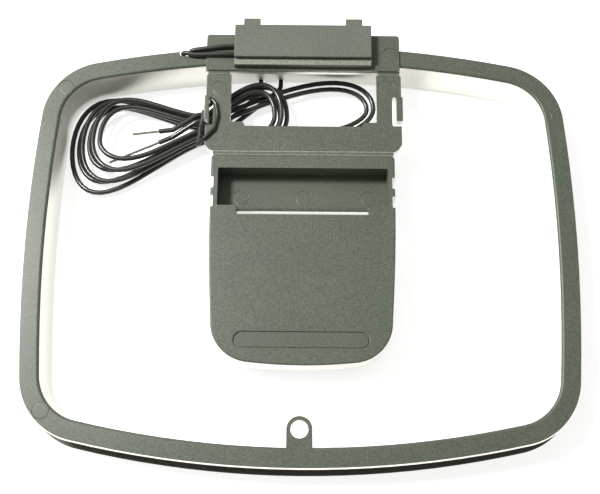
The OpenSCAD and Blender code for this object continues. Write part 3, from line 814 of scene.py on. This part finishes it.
# %% Hollow, pocket, slot and bays
POCKET_W = 46.2
POCKET_TOP_Y = BASE_HINGE_Y - 4.4
POCKET_FOOT_Y = POCKET_TOP_Y - 10.8
POCKET_FLOOR_Z = BASE_Z + SKIN_T
FLOOR_FOOT_Y = POCKET_FOOT_Y + 0.7
FLOOR_SLOPE = 1.2
SLOT_W = 36.2
SLOT_FOOT_Y = POCKET_FOOT_Y - 2.5
END_WALL = 1.2
BAY_DEPTH = 0.9
BAY_H = 3.2
BAY_YS = (POCKET_FOOT_Y + 1.2, POCKET_TOP_Y - 4.2)
hollow = tray("hollow", SKIRT_T, BASE_Z - 1, FRONT_Z - SKIN_T)
cut_all(hollow, bar("pocket_room", BASE_W, (POCKET_FOOT_Y - END_WALL, BASE_TOP_Y + 1), (BASE_Z - 2, FRONT_Z)))
pocket = bar("pocket", POCKET_W / 2, (POCKET_FOOT_Y, POCKET_TOP_Y), (POCKET_FLOOR_Z, FRONT_Z + 1))
soften(pocket, 0.4, 3, upright)
hook_slot = bar("hook_slot", SLOT_W / 2, (SLOT_FOOT_Y, FLOOR_FOOT_Y), (BASE_Z - 1, FRONT_Z + 2))
soften(hook_slot, 0.3, 2, upright)
floor_slope = bar("floor_slope", SLOT_W / 2, (FLOOR_FOOT_Y - 1, FLOOR_FOOT_Y + FLOOR_SLOPE),
                  (POCKET_FLOOR_Z - FLOOR_SLOPE, FRONT_Z + 1))
pick(floor_slope, "VERT",
     lambda corner: place_of(corner).y > FLOOR_FOOT_Y and place_of(corner).z < POCKET_FLOOR_Z)
lift(FLOOR_SLOPE)
clear()
head_room = bar("head_room", POCKET_W / 2, (POCKET_TOP_Y + END_WALL, BASE_TOP_Y - SKIRT_T),
                (BASE_Z - 1, FRONT_Z - SKIN_T))
cut_tools = [hollow, pocket, hook_slot, floor_slope, head_room]
for side in (-1, 1):
    for y in BAY_YS:
        bay = side_block("bay", side, (BASE_W / 2 - BAY_DEPTH, BASE_W / 2 + 1),
                         (y - BAY_H / 2, y + BAY_H / 2), (BASE_Z - 1, FRONT_Z + 1))
        soften(bay, 0.35, 2, upright)
        cut_tools.append(bay)
print("tools that cut the base plate:", len(cut_tools))

# %% Recess and marks
POCKET_MARKS = ((-17.1, 14.8), (0.3, 14.8), (18.2, 14.8))
LABEL_W = 35.6
LABEL_H = 4.7
LABEL_DEPTH = 0.45
LABEL_GROOVE = 0.55
LABEL_FLOOR = 0.15
LABEL_Y = BASE_FOOT_Y + 6.6


def stadium(name, inset, low_z, high_z):
    """A long block with round ends, over the place of the recess."""
    half, width = (LABEL_W - LABEL_H) / 2, LABEL_H - 2 * inset
    piece = bar(name, half, (LABEL_Y - width / 2, LABEL_Y + width / 2), (low_z, high_z))
    return join_all(piece, *[disc("end", (x, LABEL_Y, low_z), width, high_z - low_z) for x in (-half, half)])


label = stadium("label", 0, FRONT_Z - LABEL_DEPTH, FRONT_Z + 1)
cut_all(label, stadium("label_floor", LABEL_GROOVE, FRONT_Z - LABEL_DEPTH - 1, FRONT_Z - LABEL_FLOOR))
cut_all(base, *cut_tools, label, *[mark(x, y, POCKET_FLOOR_Z) for x, y in POCKET_MARKS])
shift_stand(base)
print("base plate:", len(base.data.polygons), "faces")

# %% [markdown]
# ## The plastic hinges
#
# On the real object the loop, link and base plate are one moulding, and they fold at webs less than half
# a millimetre thick. Where a web meets its neighbours, a fine raised line shows.

# %% Hinge webs
WEB_LINES = 12
WEB_INSET = 0.4
BEAD = 0.08


def web(name, x, width, y, length, node):
    """A thin strip between two bodies, with a slight bead along both ends."""
    piece = block(name, (x - width / 2, y - length / 2, FRONT_Z - FILM_T),
                  (x + width / 2, y + length / 2, FRONT_Z))
    for i in range(1, WEB_LINES):
        pick(piece, "FACE")
        bpy.ops.mesh.bisect(plane_co=at(0, y - length / 2 + length * i / WEB_LINES), plane_no=(0, 1, 0))
    for bead_y in (y - length / 2 + length / WEB_LINES, y + length / 2 - length / WEB_LINES):
        pick(piece, "VERT", lambda corner: near(place_of(corner).y, bead_y, 0.02)
             and near(place_of(corner).z, FRONT_Z))
        lift(BEAD)
    shift_stand(piece)
    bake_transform(piece)
    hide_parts(node)
    return piece


leg_x = (LINK_W - LEG_W) / 2
webs = []
for name, x, width, y, length, bodies in (("left", -leg_x, LEG_W, HINGE_Y, FILM_L, ("loop", "link")),
                                          ("right", leg_x, LEG_W, HINGE_Y, FILM_L, ("loop", "link")),
                                          ("base", 0, BASE_W, BASE_HINGE_Y, BASE_FILM_L, ("link", "base"))):
    webs.append(web(f"web_{name}", x, width - 2 * WEB_INSET, y, length, f"film_hinge_{name}"))
print("webs:", [piece.name for piece in webs])

# %% [markdown]
# ## The winding and its ends
#
# Eight turns of thin enamelled wire lie in the channel. They follow the same eight arcs as the rim, close
# to the channel's floor, and climb from the back flange to the front one. Two sleeved ends come up
# through the notch and run side by side into the terminal box. They are held all the way, so they aren't
# free cords.

# %% Winding
WIRE_D = 0.45
WINDING_TURNS = 8
WIRE_PITCH = 0.88
WIRE_FOOT_Z = 3.3
WIRE_CLEAR = 0.08
CLOSE_STEPS = 16
WIDE_STEPS = 8
TAIL_Z = 12.85
TAIL_R = 1.4
tail_a_route = [(-45, 52.75, 5.5), (-31.8, 56.1, 5.5), (-31.8, 56.2, TAIL_Z),
                (-22, UPPER_LEAD_Y, FRONT_LEAD_Z), (-17.6, UPPER_LEAD_Y, FRONT_LEAD_Z)]
tail_b_route = [(-24.5, 55.15, 7.5), (-33.9, 55.7, 7.5), (-33.9, 55.75, TAIL_Z), (-30.8, 54.9, TAIL_Z),
                (-22, LOWER_LEAD_Y, FRONT_LEAD_Z), (-17.6, LOWER_LEAD_Y, FRONT_LEAD_Z)]
wire_inset = CHANNEL_D - WIRE_D / 2 - WIRE_CLEAR
one_turn = []
for centre, radius, start, end in arcs:
    steps = CLOSE_STEPS if radius in (CORNER_R, TOP_R) else WIDE_STEPS
    for i in range(steps):
        angle = start + (end - start) * i / steps
        one_turn.append((centre.x + (radius - wire_inset) * math.cos(angle),
                         centre.y + (radius - wire_inset) * math.sin(angle)))
per_turn = len(one_turn)
winding_line = [Vector(tail_a_route[0])]
for i in range(per_turn * WINDING_TURNS - CLOSE_STEPS // 3):
    winding_line.append(Vector((*one_turn[i % per_turn], WIRE_FOOT_Z + WIRE_PITCH * i / per_turn)))
winding_line.append(Vector(tail_b_route[0]))
winding = wire("winding_wire", winding_line, WIRE_D, 2)
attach(winding, "loop")
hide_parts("winding")
tails = []
for letter, route in (("a", tail_a_route), ("b", tail_b_route)):
    tail = wire(f"sleeved_end_{letter}", rounded(route, TAIL_R), LEAD_D)
    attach(tail, "loop")
    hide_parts(f"winding_tail_{letter}")
    tails.append(tail)
print("winding:", round(length_of(winding_line) / 1000, 2), "m of wire")

# %% [markdown]
# ## The tie
#
# The hank is held at the left cleat by one more strand, a little thinner than the leads. It comes up
# through the cleat's slot, lies over the link in a soft bow and goes back round the edge, behind the post.

# %% Tie
TIE_D = 1.05
TIE_BEND_R = 0.9
OVER_Z = FRONT_Z + TIE_D / 2 + 0.1
BEHIND_Z = LINK_Z - TIE_D / 2 - 0.25
tie_route = [(-27.6, 40.2, BEHIND_Z), (-25.5, 41.6, BEHIND_Z), (-25.4, 41.7, OVER_Z), (-24, 40, OVER_Z),
             (-23.4, 36.6, OVER_Z), (-24.2, 32.6, OVER_Z), (-26.6, 29.9, OVER_Z), (-28.9, 28.3, 10.6),
             (-29, 29.4, BEHIND_Z), (-28.4, 35, BEHIND_Z), (-27.7, 39.6, BEHIND_Z)]
tie_line = rounded(tie_route, TIE_BEND_R)
tie = wire("cleat_tie", tie_line, TIE_D, 4)
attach(tie, "link")
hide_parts("hank_tie")
print("tie:", round(length_of(tie_line)), "mm long")

# %% [markdown]
# ## Giving the pieces to their bodies
#
# The loop's moulding and the cover stay with the loop, as the leads and the winding do. The tie goes
# with the link, which has its own body, and the base plate has another.

# %% Bodies and nodes
for piece, body, node, slot in ((loop_frame, "loop", "loop_frame", "frame_plastic"),
                                (cover, "loop", "terminal_cover", "cover_plastic"),
                                (link, "link", "stand_link", "frame_plastic"),
                                (base, "base", "base_plate", "frame_plastic")):
    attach(piece, body)
    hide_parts(node)
    take(piece)
    bpy.ops.object.shade_smooth_by_angle(angle=math.radians(32))
    weighted = piece.modifiers.new("weighted", "WEIGHTED_NORMAL")
    weighted.keep_sharp = True
    bpy.ops.object.modifier_apply(modifier=weighted.name)
clear()
print("dressed:", [piece.name for piece in (loop_frame, cover, link, base)])

# %% [markdown]
# ## Colours and a helper for materials
#
# The colours are written as hex values, the way a paint program gives them. Blender's shaders want
# linear light, so one function turns them over. A material here is a small graph of nodes, and one
# helper adds a node with its settings and its links.

# %% Helpers for materials
def linear(hex_colour):
    """An sRGB hex colour as linear light."""
    channels = [int(hex_colour[i:i + 2], 16) / 255 for i in (1, 3, 5)]
    return [c / 12.92 if c <= 0.04045 else ((c + 0.055) / 1.055) ** 2.4 for c in channels] + [1]


def new_material(name):
    """A material with an empty graph."""
    material = bpy.data.materials.new(name)
    material.use_nodes = True
    material.node_tree.nodes.clear()
    return material


def add(owner, kind, inputs=(), links=(), **settings):
    """Adds a ShaderNode to a material or the sky, with its settings, socket values and incoming links."""
    node = owner.node_tree.nodes.new("ShaderNode" + kind)
    for name, value in settings.items():
        setattr(node, name, value)
    for socket, value in dict(inputs).items():
        node.inputs[socket].default_value = value
    for socket, source in dict(links).items():
        owner.node_tree.links.new(source, node.inputs[socket])
    return node


def noise(material, size_mm, detail=2.0):
    """A noise with spots of a given size, as a value around 0.5."""
    place = add(material, "TexCoord").outputs["Object"]
    return add(material, "TexNoise", {"Scale": 1 / (size_mm * MM), "Detail": detail},
               {"Vector": place}).outputs["Fac"]


def spread(owner, value, low, high, from_low=0, from_high=1):
    """A value brought from one range to another."""
    ranges = {"From Min": from_low, "From Max": from_high, "To Min": low, "To Max": high}
    return add(owner, "MapRange", ranges, {"Value": value}).outputs["Result"]


def show(material, shader):
    """Makes a shader the material's surface."""
    add(material, "OutputMaterial", links={"Surface": shader.outputs[0]})
    return material


# %% [markdown]
# ## Moulded ABS, spark-eroded face
#
# The loop and its stand are dark grey ABS. The mould's front faces were spark-eroded, which leaves a fine
# even grain, a matt look and a soft sheen towards the lamp. Real grain is about a tenth of a millimetre.
# It would be too fine to show here, so it is drawn at a third of a millimetre. The same moulding has
# upright walls, which the mould left smooth, so they shine and mirror the pale table.

# %% Grained face
GRAIN_MM = 0.33
CLOUD_MM = 14
GRAIN_STOPS = ((0.3, 0.66), (0.7, 1.34))
BUMP_MM = 0.05
ABS_IOR = 1.53


def grained_abs(name, colour, roughness):
    """Matt grained plastic: a tone that wanders slightly, and a fine bump."""
    material = new_material(name)
    grain = noise(material, GRAIN_MM)
    ramp = add(material, "ValToRGB", links={"Fac": grain})
    for stop, (position, share) in zip(ramp.color_ramp.elements, GRAIN_STOPS):
        stop.position = position
        stop.color = [c * share for c in linear(colour)[:3]] + [1]
    tone = spread(material, noise(material, CLOUD_MM, 3.0), 0.94, 1.06, 0.3, 0.7)
    toned = add(material, "VectorMath", links={0: ramp.outputs["Color"], 1: tone}, operation="MULTIPLY")
    bump = add(material, "Bump", {"Strength": 0.35, "Distance": BUMP_MM * MM}, {"Height": grain})
    rough = spread(material, grain, roughness - 0.05, roughness + 0.05)
    shader = add(material, "BsdfPrincipled", {"IOR": ABS_IOR, "Specular IOR Level": 0.5},
                 {"Base Color": toned.outputs[0], "Roughness": rough, "Normal": bump.outputs[0]})
    return show(material, shader)


# %% Smooth wall
WALL_WAVE_MM = 9
WALL_ROUGHNESS = (0.38, 0.5)
MIRROR_BLEND = 0.78


def smooth_abs(name, colour, skin):
    """The same plastic where the mould was smooth, with its body colour painted paler: dark straight on, a
    mirror at a low angle.
    """
    material = new_material(name)
    rough = spread(material, noise(material, WALL_WAVE_MM), *WALL_ROUGHNESS)
    body = add(material, "BsdfPrincipled", {"Base Color": linear(colour), "IOR": ABS_IOR},
               {"Roughness": rough})
    mirror = add(material, "BsdfPrincipled", {"Base Color": linear(skin), "Metallic": 1.0},
                 {"Roughness": rough})
    angle = add(material, "LayerWeight", {"Blend": MIRROR_BLEND})
    mix = add(material, "MixShader",
              links={0: angle.outputs["Facing"], 1: body.outputs[0], 2: mirror.outputs[0]})
    return show(material, mix)


face_abs = grained_abs("abs_spark_eroded", "#5a6153", 0.42)
# The wall's body colour is painted paler than the face's, to lighten the walls.
wall_abs = smooth_abs("abs_smooth_wall", "#6c6f64", "#f8f7ef")
cover_abs = grained_abs("abs_cover", "#686e62", 0.45)
# The pale ABS gives the webs their stress-whitened ends. On the ledge in front of the cover it is a painted
# highlight.
stretched_and_highlight_abs = grained_abs("abs_stretched_and_painted_highlight", "#8f9484", 0.36)

# %% Which faces have which finish
WALL_NORMAL_Z = 0.3
SLOPE_NORMAL_Z = 0.8


def in_box(place, low, high):
    return all(a - 0.05 <= b <= c + 0.05 for a, b, c in zip(low, place, high))


def is_smooth(face):
    """Upright walls, and the sloping outer edge of the rim's front flange."""
    place = place_of(face)
    outer_slope = place.z > RIM_D - FLANGE_T and place.xy.dot(face.normal.xy) > 0
    return abs(face.normal.z) < (SLOPE_NORMAL_Z if outer_slope else WALL_NORMAL_Z)


def is_grained_wall(face):
    """Walls that the mould left rough: the box's and the cover's, and those of the plate's pocket."""
    place = place_of(face)
    return (in_box(place, (-BOX_W, BOX_FOOT_Y - 0.2, RIM_D), (BOX_W, LOOP_HALF_H + 9, COVER_Z)) or
            in_box(place, (-POCKET_W / 2, SLOT_FOOT_Y, POCKET_FLOOR_Z),
                   (POCKET_W / 2 + STAND_X, POCKET_TOP_Y, FRONT_Z)))


def is_ledge(face):
    """The ledge in front of the cover, painted paler as a highlight."""
    return in_box(place_of(face), (-BOX_W / 2, BOX_FOOT_Y, BOX_Z - LEDGE_DROP),
                  (BOX_W / 2, COVER_FOOT_Y, BOX_Z))


def coat(piece, *materials):
    """Gives a piece its materials. The first one covers the whole piece."""
    piece.data.materials.clear()
    for material in materials:
        piece.data.materials.append(material)


def coat_faces(piece, index, test):
    """Gives the faces that pass a test another of the piece's materials."""
    count = pick(piece, "FACE", test)
    piece.active_material_index = index
    bpy.ops.object.material_slot_assign()
    clear()
    return count


for piece, material in ((loop_frame, face_abs), (cover, cover_abs), (link, face_abs), (base, face_abs)):
    coat(piece, material, wall_abs, stretched_and_highlight_abs)
    walls = coat_faces(piece, 1, lambda face: is_smooth(face) and not is_grained_wall(face))
    print(piece.name, "has", walls, "smooth faces and", coat_faces(piece, 2, is_ledge), "on the ledge")

# %% [markdown]
# ## Hinge webs, wires and tin
#
# The webs are the same ABS, paler where it was stretched. The leads have soft PVC, black and glossy, with
# slight waves from the extruder. The winding is copper under clear enamel, and the bared ends are
# twisted strands, dipped in tin.

# %% Glossy skins
def glossy(name, colour, roughness, settings, wave_mm, wave_strength):
    """A glossy skin with slight waves in it."""
    material = new_material(name)
    waves = noise(material, wave_mm, 1.5)
    bump = add(material, "Bump", {"Strength": wave_strength, "Distance": BUMP_MM * MM}, {"Height": waves})
    rough = spread(material, waves, roughness - 0.04, roughness + 0.04)
    shader = add(material, "BsdfPrincipled", {"Base Color": linear(colour), **settings},
                 {"Roughness": rough, "Normal": bump.outputs[0]})
    return show(material, shader)


pvc = glossy("pvc_extruded_black", "#2b2f26", 0.33,
             {"IOR": 1.54, "Coat Weight": 0.4, "Coat Roughness": 0.1}, 2.5, 0.3)
copper = glossy("copper_enamelled", "#9c5630", 0.3,
                {"Metallic": 1.0, "Coat Weight": 1.0, "Coat Roughness": 0.08}, 1.5, 0.2)
tin = glossy("copper_tinned", "#bdb9a8", 0.3, {"Metallic": 1.0}, 0.35, 0.6)

# %% Webs, wires and tinned ends
PALE_LINES = 2.1


def at_end(face, y, length, ends):
    """Whether a face of a web lies at one of its raised ends."""
    offset = (place_of(face).y - y) / length
    return any(end * offset > 0.5 - PALE_LINES / WEB_LINES for end in ends)


LINK_WEB = (HINGE_Y, FILM_L, (-1,))
BASE_WEB = (BASE_HINGE_Y, BASE_FILM_L, (-1, 1))
for piece, (y, length, ends) in zip(webs, (LINK_WEB, LINK_WEB, BASE_WEB)):
    coat(piece, face_abs, stretched_and_highlight_abs)
    coat_faces(piece, 1, lambda face: at_end(face, y, length, ends))
for piece in [*leads, *tails, tie]:
    coat(piece, pvc)
coat(winding, copper)
for name in ("tinned_end_a", "tinned_end_b", "solder_joint_a", "solder_joint_b"):
    coat(frame["nodes"][name], tin)
print("materials:", sorted(material.name for material in bpy.data.materials))

# %% [markdown]
# ## Table, lamp and sky
#
# The object lies on a white table that the photograph overexposes. The floor is a pale surface that takes
# a soft shadow, with some light of its own towards the camera and in mirrored views, so that it reads as
# white. A small bright lamp stands at the left, a little behind. It gives the sheen on the loop's left side
# and the crisp shadows in the pocket. A large soft one beside it and a pale sky fill the rest. The sky is
# darker on the camera's side, so walls that face the camera stay dark.

# %% Floor
FLOOR_GLOW = 0.75
clear()
bpy.ops.mesh.primitive_plane_add(size=4)
floor = bpy.context.object
floor.name = "floor"
table = new_material("white_table")
ray = add(table, "LightPath").outputs
seen = add(table, "Math", links={0: ray["Is Camera Ray"], 1: ray["Is Glossy Ray"]}, operation="ADD")
seen = add(table, "Math", links={0: seen.outputs[0], 1: ray["Is Transmission Ray"]},
           operation="ADD", use_clamp=True)
glow = add(table, "Math", {1: FLOOR_GLOW}, {0: seen.outputs[0]}, operation="MULTIPLY")
paper = add(table, "BsdfDiffuse", {"Color": linear("#ecebe6")})
light = add(table, "Emission", {"Color": (1, 1, 1, 1)}, {"Strength": glow.outputs[0]})
both = add(table, "AddShader", links={0: paper.outputs[0], 1: light.outputs[0]})
coat(floor, show(table, both))

# %% Lamp and sky
LAMPS = (("small_lamp", Vector((-0.36, 0.17, 0.60)), 0.13, 4.6),
         ("soft_lamp", Vector((-0.72, 0.22, 0.55)), 0.5, 2.2))
SKY_SOUTH = 0.12
SKY_NORTH = 0.52
for name, lamp_at, size, power in LAMPS:
    clear()
    bpy.ops.object.light_add(type="AREA", location=lamp_at)
    lamp = bpy.context.object
    lamp.name = name
    lamp.data.size = size
    lamp.data.energy = power
    lamp.rotation_euler = (-lamp_at).to_track_quat("-Z", "Y").to_euler()
sky = bpy.data.worlds.new("sky")
bpy.context.scene.world = sky
sky.use_nodes = True
way = add(sky, "TexCoord")
split = add(sky, "SeparateXYZ", links={"Vector": way.outputs["Generated"]})
level = spread(sky, split.outputs["Y"], SKY_SOUTH, SKY_NORTH, -1, 1)
ray = add(sky, "LightPath").outputs
seen = add(sky, "Math", links={0: level, 1: ray["Is Camera Ray"]}, operation="MAXIMUM")
background = sky.node_tree.nodes["Background"]
background.inputs["Color"].default_value = (1, 1, 1, 1)
sky.node_tree.links.new(seen.outputs[0], background.inputs["Strength"])
print("lamps:", [lamp[0] for lamp in LAMPS], "and a sky from", SKY_SOUTH, "to", SKY_NORTH)

# %% [markdown]
# ## The end
#
# The scene is brought up to date. The dressed model has to stay in the box of the construction.

# %% Finish
bpy.context.view_layer.update()
